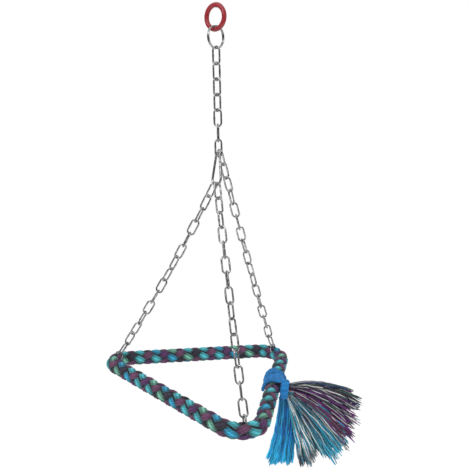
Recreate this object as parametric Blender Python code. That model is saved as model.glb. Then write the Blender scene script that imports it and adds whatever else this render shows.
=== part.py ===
"""Parrot chew rope: a braided rope triangle hung from three steel chains, a chain above and a ring.

Units are metres and +Z is up. The origin is the point inside the top of the hanging ring where
a hook carries the toy. Everything hangs straight below it.
"""
import math

import bmesh
import bpy
from mathutils import Matrix, Vector

# Clearance between neighbouring solids
GAP = 0.0003

# Hanging ring, a plain round ring of coloured plastic
RING_OUTER = 0.0290
RING_TUBE = 0.0050
RING_TURN = math.radians(-41)

# Split ring, two turns of spring wire side by side
SPLIT_OUTER = 0.0240
SPLIT_WIRE = 0.0012
SPLIT_TURNS = 2
SPLIT_TURN_GAP = 0.00045
SPLIT_TURN = math.radians(49)

# One chain link, the same all over the toy
LINK_WIRE = 0.0020
LINK_OUTER_WIDTH = 0.0100
LINK_INNER_LENGTH = 0.0163

# How far each upper link is turned about the vertical, from the top down
UPPER_TURNS = [math.radians(turn) for turn in (147, 35, 145, 39, 157, 95.5, 34)]

# Pear-shaped link below the upper chain, which carries two of the three chains on its wide bow
PEAR_WIRE = 0.0025
PEAR_INNER_LENGTH = 0.03330
PEAR_TOP_RADIUS = 0.0032
PEAR_LOW_RADIUS = 0.0072
PEAR_SEAT = (-0.00053, 0.00452)
PEAR_DOWN = (-0.08094, -0.22259, -0.97155)
PEAR_TURN = math.radians(-53)
PEAR_PLACES = {"left": math.radians(-30.1), "front": math.radians(12.1)}
PEAR_PLAY = 0.0003

# The three chains that carry the perch
CHAIN_LINKS = {"left": 16, "front": 16, "right": 18}
LINK_STEP = math.radians(78)

# Links that lie pressed together, each pair one solid, and how far their wires press in
PRESSED_PAIRS = (4, 7, 9, 11, 14)
LINK_PRESS = 0.00012

# Where the right chain's first link crosses the lowest upper link: across its bow, above it, and turned
TOP_SEAT = (0.00133, 0.00717, math.radians(-31.5))

# How far the middle of each chain hangs below the straight line between its ends
CHAIN_SAG = {"left": 0.0042, "front": 0.0040, "right": 0.0024}

# The first link of each run of links that turns as one
RUN_STARTS = (2, 7, 13)

# Where each corner of the perch hangs: across and behind the middle, and the rope's bend there
CORNERS = {"left": (-0.1315, 0.0363), "front": (0.0203, -0.1141), "right": (0.0662, 0.0840)}
BEND_RADIUS = {"left": 0.0150, "front": 0.0250, "right": 0.0230}

# Perch: braided rope over a bent steel wire
ROPE_DIAMETER = 0.0182
CORE_DIAMETER = 0.0040

# Blue yarn tie: turns round the rope, then turns round the neck of the fringe
TIE_SHARE = 0.38
TIE_YARN = 0.0040
ROPE_TIE_TURNS = 3
NECK_TIE_TURNS = 2
TIE_TURN_GAP = 0.0005
NECK_DIAMETER = 0.0140
NECK_SPARE = 0.0016

# Yarn bunches of the fringe: how far each end reaches out and down, and its last width and depth
FRINGE_BUNCHES = {
    "fringe_top_bunch": (0.068, -0.012, 0.026, 0.030),
    "fringe_plum_bunch": (0.066, -0.042, 0.027, 0.032),
    "fringe_teal_bunch": (0.050, -0.068, 0.027, 0.032),
    "fringe_cream_bunch": (0.022, -0.080, 0.025, 0.030),
}

# How late a bunch widens along its length: 1 widens evenly
BUNCH_FLARE = 1.15

# How far a bunch leaves straight before it bends, how much it dips there, and its root's width
BUNCH_STRAIGHT = 0.40
BUNCH_DIP = 0.85
BUNCH_ROOT_SHARE = 0.7

# Two blue yarn tails that hang from the tie
TAIL_LENGTH = 0.075
TAIL_ROOT_WIDTH = 0.0050
TAIL_ROOT_DEPTH = 0.0030
TAIL_END_WIDTH = 0.0150
TAIL_END_DEPTH = 0.0200
TAIL_SPREAD = 0.0010
TAIL_LEAN = -0.0050
TAIL_ROOM = 0.0008

# Facets
LINK_BOW_POINTS = 5
LINK_SIDES = 6
PEAR_BOW_POINTS = 9
PEAR_SIDES = 8
RING_POINTS = 28
RING_SIDES = 10
ROPE_SIDES = 12
CORE_SIDES = 6
BEND_POINTS = 8
SIDE_POINTS = 5
BUNCH_RINGS = 7
BUNCH_SIDES = 10
TIE_POINTS_PER_TURN = 18
TIE_SIDES = 6

# Edges sharper than this stay crisp
SHARP_ANGLE = math.radians(50)

# How often the corner tips are refined
TIP_ROUNDS = 12

UP = Vector((0, 0, 1))
BACK = Vector((0, 1, 0))

# The chains in their order round the perch
CHAIN_NAMES = ("left", "front", "right")
FRONT = CHAIN_NAMES.index("front")
RIGHT = CHAIN_NAMES.index("right")

# Sizes that follow from those above
RING_RADIUS = (RING_OUTER - RING_TUBE) / 2
SPLIT_RADIUS = (SPLIT_OUTER - SPLIT_WIRE) / 2
SPLIT_PITCH = SPLIT_WIRE + SPLIT_TURN_GAP
LINK_HALF = (LINK_OUTER_WIDTH - LINK_WIRE) / 2
LINK_REACH = LINK_INNER_LENGTH + LINK_WIRE
PITCH = LINK_INNER_LENGTH - GAP
ROPE_RADIUS = ROPE_DIAMETER / 2
RING_CENTRE = Vector((0, 0, RING_TUBE / 2 - RING_RADIUS))
RING_BOTTOM = RING_CENTRE - UP * RING_RADIUS
SPLIT_CENTRE = RING_BOTTOM + UP * (RING_TUBE / 2 + GAP + SPLIT_WIRE / 2 - SPLIT_RADIUS)
SPLIT_BOTTOM = SPLIT_CENTRE - UP * SPLIT_RADIUS
BOW_ROOM = LINK_HALF - LINK_WIRE / 2 - GAP - SPLIT_WIRE / 2
FIRST_LINK_TOP = SPLIT_BOTTOM + UP * (LINK_HALF - math.sqrt(BOW_ROOM ** 2 - (SPLIT_PITCH / 2) ** 2))


def upper_link_top(number):
    """Middle of the top bow of an upper link, counted from 1."""
    return FIRST_LINK_TOP - UP * PITCH * (number - 1)


JUNCTION = upper_link_top(len(UPPER_TURNS)) - UP * LINK_REACH


def clear_scene():
    """Starts from an empty scene."""
    for item in list(bpy.data.objects):
        bpy.data.objects.remove(item, do_unlink=True)


def material(name, colour, roughness, metallic=0.0):
    """A plain Principled material."""
    made = bpy.data.materials.new(name)
    made.use_nodes = True
    shader = made.node_tree.nodes["Principled BSDF"]
    shader.inputs["Base Color"].default_value = (*colour, 1)
    shader.inputs["Roughness"].default_value = roughness
    shader.inputs["Metallic"].default_value = metallic
    made.diffuse_color = (*colour, 1)
    return made


def add_object(name, mesh, matrix, finish, pivot=None):
    """Places a mesh, under an empty on its joint's axis where the piece moves."""
    mesh.materials.clear()
    mesh.materials.append(finish)
    mesh.shade_smooth()
    mesh.set_sharp_from_angle(angle=SHARP_ANGLE)
    made = bpy.data.objects.new(name, mesh)
    bpy.context.collection.objects.link(made)
    made.matrix_world = matrix
    if pivot is not None:
        empty = bpy.data.objects.new(name + "_axis", None)
        empty.location = pivot
        bpy.context.collection.objects.link(empty)
        made.parent = empty
        made.matrix_local = Matrix.Translation(-pivot) @ matrix
    return made


def skin(rings, closed):
    """A bmesh tube from rings of points, either joined end to start or capped."""
    made = bmesh.new()
    rows = [[made.verts.new(point) for point in ring] for ring in rings]
    count = len(rows[0])
    pairs = list(zip(rows, rows[1:]))
    if closed:
        pairs.append((rows[-1], rows[0]))
    for near, far in pairs:
        for side in range(count):
            after = (side + 1) % count
            made.faces.new((near[side], near[after], far[after], far[side]))
    if not closed:
        made.faces.new(list(reversed(rows[0])))
        made.faces.new(rows[-1])
    bmesh.ops.recalc_face_normals(made, faces=made.faces)
    return made


def to_mesh(name, made):
    """Turns a bmesh into a mesh."""
    mesh = bpy.data.meshes.new(name)
    made.to_mesh(mesh)
    made.free()
    return mesh


def ring_of(centre, across, along, radius, sides):
    """Points of a circle about a centre, in the plane of two unit directions."""
    angles = [2 * math.pi * side / sides for side in range(sides)]
    return [centre + radius * (across * math.cos(a) + along * math.sin(a)) for a in angles]


def flat_loop_rings(points, tangents, normal, radius, sides):
    """Rings of a tube that follows a closed loop lying in one plane."""
    pairs = zip(points, tangents)
    return [ring_of(point, normal.cross(tangent).normalized(), normal, radius, sides) for point, tangent in pairs]


def link_path():
    """Centre line of a link and its tangents, from the middle of its top bow at the origin."""
    points = []
    tangents = []
    for drop, start in ((LINK_HALF, 0.0), (LINK_REACH - LINK_HALF, math.pi)):
        for step in range(LINK_BOW_POINTS):
            angle = start + math.pi * step / (LINK_BOW_POINTS - 1)
            points.append(Vector((LINK_HALF * math.cos(angle), 0, LINK_HALF * math.sin(angle) - drop)))
            tangents.append(Vector((-math.sin(angle), 0, math.cos(angle))))
    return points, tangents


def link_bmesh(wire_radius):
    """A link as a closed tube of the given wire radius."""
    points, tangents = link_path()
    return skin(flat_loop_rings(points, tangents, BACK, wire_radius, LINK_SIDES), True)


def link_matrix(top, down, across):
    """Places a link with its top bow at a point, hanging along one direction and lying across another."""
    lift = -down.normalized()
    side = (across - across.dot(lift) * lift).normalized()
    matrix = Matrix((side, lift.cross(side), lift)).transposed().to_4x4()
    matrix.translation = top
    return matrix


def combine(target, name, made, operation):
    """Joins a shape to an object, or takes it out, with a hidden guide."""
    cutter = bpy.data.objects.new(name, to_mesh(name, made))
    cutter.hide_render = True
    cutter.display_type = "WIRE"
    bpy.context.collection.objects.link(cutter)
    boolean = target.modifiers.new(name, "BOOLEAN")
    boolean.operation = operation
    boolean.solver = "EXACT"
    boolean.object = cutter


def make_hanging_ring(finish):
    """The ring that goes on a hook."""
    plane = Matrix.Rotation(RING_TURN, 3, "Z")
    turns = [2 * math.pi * step / RING_POINTS for step in range(RING_POINTS)]
    points = [RING_CENTRE + RING_RADIUS * (plane @ Vector((math.cos(a), 0, math.sin(a)))) for a in turns]
    tangents = [plane @ Vector((-math.sin(a), 0, math.cos(a))) for a in turns]
    rings = flat_loop_rings(points, tangents, plane @ BACK, RING_TUBE / 2, RING_SIDES)
    return add_object("hanging_ring", to_mesh("hanging_ring", skin(rings, True)), Matrix(), finish)


def winding(centre, axis, start, radius, wire, pitch, turns, points_per_turn, sides):
    """An open tube wound about an axis, as rings, with its middle at the centre."""
    side = axis.cross(start)
    steps = turns * points_per_turn
    rings = []
    for step in range(steps + 1):
        angle = 2 * math.pi * step / points_per_turn
        outward = start * math.cos(angle) + side * math.sin(angle)
        shift = axis * pitch * (angle / (2 * math.pi) - turns / 2)
        rings.append(ring_of(centre + outward * radius + shift, outward, axis, wire / 2, sides))
    return rings


def make_split_ring(finish):
    """Two turns of spring wire that join the hanging ring to the chain."""
    plane = Matrix.Rotation(SPLIT_TURN, 3, "Z")
    axis = plane @ BACK
    rings = winding(SPLIT_CENTRE, axis, UP, SPLIT_RADIUS, SPLIT_WIRE, SPLIT_PITCH,
                    SPLIT_TURNS, RING_POINTS, LINK_SIDES)
    add_object("split_ring", to_mesh("split_ring", skin(rings, False)), Matrix(), finish, RING_BOTTOM)
    print("split ring, gap between turns:", round(SPLIT_TURN_GAP * 1000, 2), "mm")


def make_upper_links(finish):
    """Seven links between the split ring and the three chains."""
    mesh = to_mesh("link", link_bmesh(LINK_WIRE / 2))
    pivot = SPLIT_BOTTOM
    for number, turn in enumerate(UPPER_TURNS, 1):
        top = upper_link_top(number)
        across = Vector((math.cos(turn), math.sin(turn), 0))
        add_object("upper_link_%d" % number, mesh.copy(), link_matrix(top, -UP, across), finish, pivot)
        pivot = top - UP * LINK_REACH


class PearLink:
    """The pear-shaped link: a narrow bow on the upper chain and a wide one below for two chains."""

    def __init__(self):
        last = UPPER_TURNS[-1]
        across, up = PEAR_SEAT
        self.top = JUNCTION + Vector((math.cos(last), math.sin(last), 0)) * across + UP * up
        self.down = Vector(PEAR_DOWN).normalized()
        level = Vector((math.cos(PEAR_TURN), math.sin(PEAR_TURN), 0))
        self.across = (level - level.dot(self.down) * self.down).normalized()
        self.low_centre = self.top + self.down * (PEAR_INNER_LENGTH + PEAR_WIRE - PEAR_LOW_RADIUS)

    def low_point(self, angle):
        """A point on the wide bow's centre line and the wire's direction there."""
        point = self.low_centre + (self.down * math.cos(angle) + self.across * math.sin(angle)) * PEAR_LOW_RADIUS
        return point, self.down * math.sin(angle) - self.across * math.cos(angle)

    def path(self):
        """Centre line of the whole link and its tangents."""
        top_centre = self.top + self.down * PEAR_TOP_RADIUS
        lean = math.asin((PEAR_LOW_RADIUS - PEAR_TOP_RADIUS) / (self.low_centre - top_centre).length)
        points = []
        tangents = []
        for step in range(PEAR_BOW_POINTS):
            angle = (math.pi / 2 - lean) * (2 * step / (PEAR_BOW_POINTS - 1) - 1)
            outward = self.across * math.sin(angle) - self.down * math.cos(angle)
            points.append(top_centre + outward * PEAR_TOP_RADIUS)
            tangents.append(self.down * math.sin(angle) + self.across * math.cos(angle))
        for step in range(PEAR_BOW_POINTS):
            point, tangent = self.low_point((math.pi / 2 + lean) * (1 - 2 * step / (PEAR_BOW_POINTS - 1)))
            points.append(point)
            tangents.append(tangent)
        return points, tangents


def make_pear_link(pear, finish):
    """The pear-shaped link as one closed loop of wire."""
    points, tangents = pear.path()
    rings = flat_loop_rings(points, tangents, pear.across.cross(pear.down), PEAR_WIRE / 2, PEAR_SIDES)
    add_object("pear_link", to_mesh("pear_link", skin(rings, True)), Matrix(), finish)


class Chain:
    """One of the three slack chains: where its links start, their directions and how each is turned."""

    def __init__(self, name, pear):
        self.name = name
        self.count = CHAIN_LINKS[name]
        if name in PEAR_PLACES:
            hold, wire = pear.low_point(PEAR_PLACES[name])
            self.lay(hold)
            self.lay(hold - self.headings[0] * ((PEAR_WIRE + LINK_WIRE) / 2 + GAP + PEAR_PLAY))
            self.first = self.headings[0].cross(wire).normalized()
        else:
            across, up, turn = TOP_SEAT
            last = UPPER_TURNS[-1]
            self.lay(JUNCTION + Vector((math.cos(last), math.sin(last), 0)) * across + UP * up)
            start = self.headings[0]
            self.first = Matrix.Rotation(turn, 3, start) @ (BACK - BACK.dot(start) * start).normalized()

    def lay(self, top):
        """Hangs the links from a point down to the corner of the perch."""
        last_reach = LINK_REACH - CORE_DIAMETER / 2 - GAP - LINK_WIRE / 2
        length = self.distance(self.count) + last_reach
        sag = CHAIN_SAG[self.name]
        straight = length - 8 / 3 * sag ** 2 / length
        across, behind = CORNERS[self.name]
        flat = Vector((across - top.x, behind - top.y, 0))
        line = flat - UP * math.sqrt(straight ** 2 - flat.length_squared)
        below = (line.dot(UP) * line - line.dot(line) * UP).normalized()
        self.down = line.normalized()
        self.headings = []
        self.tops = [top]
        for number in range(1, self.count + 1):
            share = (number - 0.5) / self.count
            heading = (line + below * 4 * sag * (1 - 2 * share)).normalized()
            self.headings.append(heading)
            self.tops.append(self.tops[-1] + heading * (self.distance(number + 1) - self.distance(number)))
        self.corner = self.tops[self.count - 1] + self.headings[-1] * last_reach

    @staticmethod
    def distance(number):
        """How far down the chain a link's top bow is, counted from 1."""
        pressed = sum(1 for upper in PRESSED_PAIRS if upper < number)
        return PITCH * (number - 1) + (GAP + LINK_PRESS) * pressed

    def set_turns(self, tangent):
        """Spreads the turn between the first link, across the upper one, and the last, square to the core."""
        last = self.headings[-1].cross(tangent).normalized()
        whole = math.atan2(self.first.cross(last).dot(self.down), self.first.dot(last))
        spaces = self.count - 1
        halves = round((LINK_STEP * spaces - whole) / math.pi)
        self.step = (whole + halves * math.pi) / spaces

    def matrix(self, number):
        """Places link number of this chain, counted from 1."""
        turn = Matrix.Rotation(self.step * (number - 1), 3, self.down)
        return link_matrix(self.tops[number - 1], self.headings[number - 1], turn @ self.first)

    def run_top(self, number):
        """Where the run that holds a link starts, on the line that the run turns about."""
        start = max(first for first in RUN_STARTS if first <= number)
        return self.tops[start - 1]


def make_chain(chain, finish):
    """The links of one chain, which turn about its line apart from the first and the last."""
    number = 1
    while number <= chain.count:
        pair = number in PRESSED_PAIRS
        name = "%s_chain_link_%02d" % (chain.name, number)
        if pair:
            name = "%s_chain_links_%02d_%02d" % (chain.name, number, number + 1)
        pivot = chain.run_top(number) if 1 < number < chain.count else None
        mesh = to_mesh(name, link_bmesh(LINK_WIRE / 2))
        made = add_object(name, mesh, chain.matrix(number), finish, pivot)
        if pair:
            lower = link_bmesh(LINK_WIRE / 2)
            lower.transform(chain.matrix(number + 1))
            combine(made, name + "_lower", lower, "UNION")
        number += 2 if pair else 1


class Loop:
    """The perch's centre line: a flat triangle with round corners that pass through the chains' ends."""

    def __init__(self, corners, radii):
        self.middle = sum(corners, Vector()) / 3
        self.normal = (corners[1] - corners[0]).cross(corners[2] - corners[0]).normalized()
        if self.normal.z < 0:
            self.normal.negate()
        tips = list(corners)
        for _ in range(TIP_ROUNDS):
            tips = [self.tip(tips, corners, radii, which) for which in range(3)]
        self.tips = tips
        self.radii = radii

    @staticmethod
    def bisector(tips, which):
        """Half the angle at a tip, and the direction from the tip into the triangle."""
        here = tips[which]
        one = (tips[(which + 1) % 3] - here).normalized()
        two = (tips[(which + 2) % 3] - here).normalized()
        return one.angle(two) / 2, (one + two).normalized()

    def tip(self, tips, corners, radii, which):
        """The sharp tip whose round corner passes through the given point."""
        half, inward = self.bisector(tips, which)
        return corners[which] - inward * radii[which] * (1 / math.sin(half) - 1)

    def bend(self, which):
        """Points and tangents round one corner, from the side before to the side after."""
        half, inward = self.bisector(self.tips, which)
        radius = self.radii[which]
        centre = self.tips[which] + inward * radius / math.sin(half)
        before = (self.tips[which] - self.tips[(which + 2) % 3]).normalized()
        outward = -inward
        turn_sign = 1 if before.cross(outward).dot(self.normal) < 0 else -1
        sweep = math.pi - 2 * half
        points = []
        tangents = []
        for step in range(BEND_POINTS + 1):
            angle = turn_sign * sweep * (step / BEND_POINTS - 0.5)
            ray = Matrix.Rotation(angle, 3, self.normal) @ outward
            points.append(centre + ray * radius)
            tangents.append((self.normal.cross(ray) * turn_sign).normalized())
        return points, tangents

    def side(self, start, end, share):
        """A point and the tangent on the straight run between two corners."""
        first = self.bend(start)[0][-1]
        last = self.bend(end)[0][0]
        return first.lerp(last, share), (last - first).normalized()

    def path(self):
        """The whole closed centre line."""
        points = []
        tangents = []
        for which in range(3):
            bend_points, bend_tangents = self.bend(which)
            points += bend_points
            tangents += bend_tangents
            for step in range(1, SIDE_POINTS + 1):
                point, tangent = self.side(which, (which + 1) % 3, step / (SIDE_POINTS + 1))
                points.append(point)
                tangents.append(tangent)
        return points, tangents

    def tube(self, radius, sides):
        """A closed tube along the whole centre line."""
        points, tangents = self.path()
        return skin(flat_loop_rings(points, tangents, self.normal, radius, sides), True)


def make_perch(loop, chains, rope, steel):
    """The braided rope, its wire core and the tunnels through which the last links hold the core."""
    braid = add_object("braided_rope", to_mesh("braided_rope", loop.tube(ROPE_RADIUS, ROPE_SIDES)), Matrix(), rope)
    combine(braid, "core_space", loop.tube(CORE_DIAMETER / 2 + GAP, CORE_SIDES), "DIFFERENCE")
    for chain in chains:
        tunnel = link_bmesh(LINK_WIRE / 2 + GAP)
        tunnel.transform(chain.matrix(chain.count))
        combine(braid, chain.name + "_tunnel", tunnel, "DIFFERENCE")
    add_object("wire_core", to_mesh("wire_core", loop.tube(CORE_DIAMETER / 2, CORE_SIDES)), Matrix(), steel)


class Tie:
    """Where the blue yarn binds the rope and the neck of the fringe."""

    def __init__(self, loop):
        self.on_rope, backward = loop.side(FRONT, RIGHT, 1 - TIE_SHARE)
        self.along = -backward
        self.out = self.along.cross(loop.normal).normalized()
        if self.out.dot(self.on_rope - loop.middle) < 0:
            self.out.negate()
        self.up = loop.normal
        self.pitch = TIE_YARN + TIE_TURN_GAP
        self.rope_half = (ROPE_TIE_TURNS * self.pitch + TIE_YARN) / 2
        self.neck_radius = NECK_DIAMETER / 2
        self.neck_turn_radius = self.neck_radius + GAP + TIE_YARN / 2
        self.neck_outer = self.neck_turn_radius + TIE_YARN / 2
        self.neck_half = (NECK_TIE_TURNS * self.pitch + TIE_YARN) / 2
        self.neck_base = self.on_rope + self.along * (self.rope_half + GAP + self.neck_outer)
        self.neck_start = ROPE_RADIUS + GAP
        self.neck_turn_middle = self.neck_start + GAP + self.neck_half
        self.neck_end = self.neck_turn_middle + self.neck_half + NECK_SPARE

    def on_neck(self, distance):
        """A point on the neck's centre line, measured out from the rope's."""
        return self.neck_base + self.out * distance


def make_tie(tie, blue, fringe):
    """The yarn turns and the gathered neck that they hold."""
    rings = winding(tie.on_rope, tie.along, tie.up, ROPE_RADIUS + GAP + TIE_YARN / 2, TIE_YARN, tie.pitch,
                    ROPE_TIE_TURNS, TIE_POINTS_PER_TURN, TIE_SIDES)
    add_object("blue_rope_tie", to_mesh("blue_rope_tie", skin(rings, False)), Matrix(), blue)
    rings = winding(tie.on_neck(tie.neck_turn_middle), tie.out, tie.up, tie.neck_turn_radius, TIE_YARN, tie.pitch,
                    NECK_TIE_TURNS, TIE_POINTS_PER_TURN, TIE_SIDES)
    add_object("blue_neck_tie", to_mesh("blue_neck_tie", skin(rings, False)), Matrix(), blue)
    ends = [tie.on_neck(tie.neck_start), tie.on_neck(tie.neck_end)]
    rings = [ring_of(point, tie.along, tie.up, tie.neck_radius, ROPE_SIDES) for point in ends]
    add_object("fringe_neck", to_mesh("fringe_neck", skin(rings, False)), Matrix(), fringe)
    print("tie, gap between turns:", round(TIE_TURN_GAP * 1000, 2), "mm")


def bunch_rings(start, face, leave, end, side, root, last):
    """Oval rings along a bent path from a yarn bunch's root, which is square to its face, to its cut ends."""
    handle = start + leave * (end - start).length * BUNCH_STRAIGHT
    rings = []
    for step in range(BUNCH_RINGS):
        share = step / (BUNCH_RINGS - 1)
        point = start.lerp(handle, share).lerp(handle.lerp(end, share), share)
        heading = (handle.lerp(end, share) - start.lerp(handle, share)).normalized() if step else face
        thick = heading.cross(side).normalized()
        width = root[0] + (last[0] - root[0]) * share ** BUNCH_FLARE
        depth = root[1] + (last[1] - root[1]) * share
        angles = [2 * math.pi * (number + 0.5) / BUNCH_SIDES for number in range(BUNCH_SIDES)]
        rings.append([point + thick * math.cos(a) * width / 2 + side * math.sin(a) * depth / 2 for a in angles])
    return rings


def make_fringe(tie, finishes):
    """The frayed rope ends, as four bunches one above the other, which lift about the neck's upper edge."""
    count = len(FRINGE_BUNCHES)
    root_height = (NECK_DIAMETER - (count - 1) * GAP * 2) / count
    flat_out = Vector((tie.out.x, tie.out.y, 0)).normalized()
    pivot = tie.on_neck(tie.neck_end) + tie.up * NECK_DIAMETER / 2
    for number, (name, (reach, fall, width, depth)) in enumerate(FRINGE_BUNCHES.items()):
        rise = NECK_DIAMETER / 2 - root_height / 2 - number * (root_height + 2 * GAP)
        start = tie.on_neck(tie.neck_end + GAP) + tie.up * rise
        end = tie.on_neck(tie.neck_end) + flat_out * reach + UP * fall
        tilt = (number + 0.5) / count
        leave = (tie.out * (1 - BUNCH_DIP * tilt) - UP * BUNCH_DIP * tilt).normalized()
        root = (root_height, NECK_DIAMETER * BUNCH_ROOT_SHARE)
        rings = bunch_rings(start, tie.out, leave, end, tie.along, root, (width, depth))
        add_object(name, to_mesh(name, skin(rings, False)), Matrix(), finishes[name], pivot)


def make_tails(tie, blue):
    """The two ends of the blue yarn, which hang below the neck."""
    flat_out = Vector((tie.out.x, tie.out.y, 0)).normalized()
    side = UP.cross(flat_out).normalized()
    root = tie.on_neck(tie.neck_turn_middle) - UP * (tie.neck_outer + TAIL_ROOM)
    for name, sign in (("blue_left_tail", -1), ("blue_right_tail", 1)):
        start = root + tie.out * sign * (TAIL_ROOT_WIDTH / 2 + TAIL_SPREAD)
        shift = TAIL_LEAN + sign * (TAIL_END_WIDTH / 2 + TAIL_SPREAD)
        end = root - UP * TAIL_LENGTH + flat_out * shift
        rings = bunch_rings(start, -UP, -UP, end, side, (TAIL_ROOT_WIDTH, TAIL_ROOT_DEPTH),
                            (TAIL_END_WIDTH, TAIL_END_DEPTH))
        add_object(name, to_mesh(name, skin(rings, False)), Matrix(), blue, start)


def build():
    """Makes the whole toy."""
    clear_scene()
    red = material("red_plastic", (0.62, 0.06, 0.09), 0.35)
    steel = material("plated_steel", (0.72, 0.73, 0.74), 0.25, 1.0)
    rope = material("braided_cotton", (0.10, 0.28, 0.33), 0.9)
    blue = material("blue_yarn", (0.01, 0.17, 0.55), 0.85)
    fringe = {
        "fringe_top_bunch": material("slate_yarn", (0.20, 0.22, 0.30), 0.9),
        "fringe_plum_bunch": material("plum_yarn", (0.16, 0.03, 0.16), 0.9),
        "fringe_teal_bunch": material("teal_yarn", (0.05, 0.30, 0.32), 0.9),
        "fringe_cream_bunch": material("cream_yarn", (0.62, 0.60, 0.54), 0.9),
    }
    make_hanging_ring(red)
    make_split_ring(steel)
    make_upper_links(steel)
    pear = PearLink()
    make_pear_link(pear, steel)
    chains = [Chain(name, pear) for name in CHAIN_NAMES]
    loop = Loop([chain.corner for chain in chains], [BEND_RADIUS[chain.name] for chain in chains])
    for number, chain in enumerate(chains):
        points, tangents = loop.bend(number)
        chain.set_turns(tangents[BEND_POINTS // 2])
        make_chain(chain, steel)
    make_perch(loop, chains, rope, steel)
    tie = Tie(loop)
    make_tie(tie, blue, fringe["fringe_plum_bunch"])
    make_fringe(tie, fringe)
    make_tails(tie, blue)
    bpy.context.view_layer.update()


build()
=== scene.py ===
"""Parrot chew rope: links, rings, braid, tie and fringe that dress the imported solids, and the studio."""
import math

import bpy
import numpy as np
from mathutils import Matrix, Vector


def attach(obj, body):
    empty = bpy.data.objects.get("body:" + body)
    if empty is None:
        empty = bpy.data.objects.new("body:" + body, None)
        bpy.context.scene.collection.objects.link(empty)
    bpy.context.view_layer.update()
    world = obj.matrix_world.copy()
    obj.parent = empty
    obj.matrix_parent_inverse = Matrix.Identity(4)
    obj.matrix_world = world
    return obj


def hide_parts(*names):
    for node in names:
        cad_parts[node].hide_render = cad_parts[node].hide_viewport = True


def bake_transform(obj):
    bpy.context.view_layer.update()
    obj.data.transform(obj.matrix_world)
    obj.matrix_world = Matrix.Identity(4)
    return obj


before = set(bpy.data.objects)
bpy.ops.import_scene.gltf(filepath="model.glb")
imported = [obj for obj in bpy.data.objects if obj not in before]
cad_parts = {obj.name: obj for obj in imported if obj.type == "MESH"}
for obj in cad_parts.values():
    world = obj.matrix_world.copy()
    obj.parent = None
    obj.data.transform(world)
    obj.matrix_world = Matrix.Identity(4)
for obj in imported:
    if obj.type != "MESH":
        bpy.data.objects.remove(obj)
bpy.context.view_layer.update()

# Sizes of the real toy in metres. They and the lines that follow from them are as in the part's source
GAP = 0.0003
RING_OUTER = 0.0290
RING_TUBE = 0.0050
RING_TURN = math.radians(-41)
SPLIT_OUTER = 0.0240
SPLIT_WIRE = 0.0012
SPLIT_PITCH = SPLIT_WIRE + 0.00045
SPLIT_TURN = math.radians(49)
LINK_WIRE = 0.0020
LINK_HALF = 0.0040
LINK_REACH = 0.0183
PITCH = 0.0160
LINK_PRESS = 0.00012
UPPER_TURNS = [math.radians(turn) for turn in (147, 35, 145, 39, 157, 95.5, 34)]
PEAR_WIRE = 0.0025
PEAR_INNER_LENGTH = 0.03330
PEAR_TOP_RADIUS = 0.0032
PEAR_LOW_RADIUS = 0.0072
PEAR_SEAT = (-0.00053, 0.00452)
PEAR_DOWN = (-0.08094, -0.22259, -0.97155)
PEAR_TURN = math.radians(-53)
PEAR_PLACES = {"left": math.radians(-30.1), "front": math.radians(12.1)}
PEAR_PLAY = 0.0003
CHAIN_LINKS = {"left": 16, "front": 16, "right": 18}
LINK_STEP = math.radians(78)
PRESSED_PAIRS = (4, 7, 9, 11, 14)
RUN_STARTS = (2, 7, 13)
TOP_SEAT = (0.00133, 0.00717, math.radians(-31.5))
CHAIN_SAG = {"left": 0.0042, "front": 0.0040, "right": 0.0024}
CORNERS = {"left": (-0.1315, 0.0363), "front": (0.0203, -0.1141), "right": (0.0662, 0.0840)}
BEND_RADIUS = {"left": 0.0150, "front": 0.0250, "right": 0.0230}
ROPE_RADIUS = 0.0091
CORE_RADIUS = 0.0020
TIE_SHARE = 0.38
TIE_YARN = 0.0040
TIE_PITCH = TIE_YARN + 0.0005
ROPE_TIE_TURNS = 3
NECK_TIE_TURNS = 2
NECK_BAND_TURNS = 1
NECK_RADIUS = 0.0070
NECK_SPARE = 0.0016
FRINGE_BUNCHES = {
    "fringe_top_bunch": (0.068, -0.012, 0.026, 0.030),
    "fringe_plum_bunch": (0.066, -0.042, 0.027, 0.032),
    "fringe_teal_bunch": (0.050, -0.068, 0.027, 0.032),
    "fringe_cream_bunch": (0.022, -0.080, 0.025, 0.030),
}
BUNCH_FLARE = 1.15
BUNCH_STRAIGHT = 0.40
BUNCH_DIP = 0.85
BUNCH_ROOT_SHARE = 0.7
TAIL_LENGTH = 0.075
TAIL_ROOT = (0.0050, 0.0030)
TAIL_END = (0.0150, 0.0200)
TAIL_SPREAD = 0.0010
TAIL_LEAN = -0.0050
TAIL_ROOM = 0.0008

# Where the toy's pieces meet
UP = Vector((0, 0, 1))
BACK = Vector((0, 1, 0))
RING_CENTRE = UP * (RING_TUBE - RING_OUTER / 2)
RING_RADIUS = (RING_OUTER - RING_TUBE) / 2
SPLIT_RADIUS = (SPLIT_OUTER - SPLIT_WIRE) / 2
SPLIT_CENTRE = UP * -0.0295
FIRST_LINK_TOP = -0.03883
JUNCTION = UP * -0.15313

# Braid
STRANDS_EACH_WAY = 4
CROSSING_SPACE = 0.0098
STRAND_RADIUS = 0.0061
STRAND_DIVE = 0.0013
YARNS_PER_STRAND = 3
YARN_SPACE = 0.0024
YARN_DROP = 0.0005
YARN_RADIUS = 0.0015
YARN_SIDES = 10
YARN_TWIST_LENGTH = 0.0075
YARN_PLY_DEPTH = 0.09
YARN_PLY_LIGHT = 0.26
FADE_SPREAD = 0.25
FADE_LIMITS = (0.6, 1.5)
FILLER_RADIUS = 0.0052
FILLER_SIDES = 16
# Painted shade in the gaps between the strands: a filler of ink dye, darkened further
FILLER_LIGHT = 0.4
GAP_SHADE_TONE = 0.69
BRAID_STEP = 0.0011
# Painted light of each strand: low where it dives under others, high where it passes over
STRAND_LOW_LIGHT = 0.10
STRAND_HIGH_LIGHT = 2.15
STRAND_LIGHT_FALL = 1.6
STRAND_EDGE_SHADE = 0.40

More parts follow.
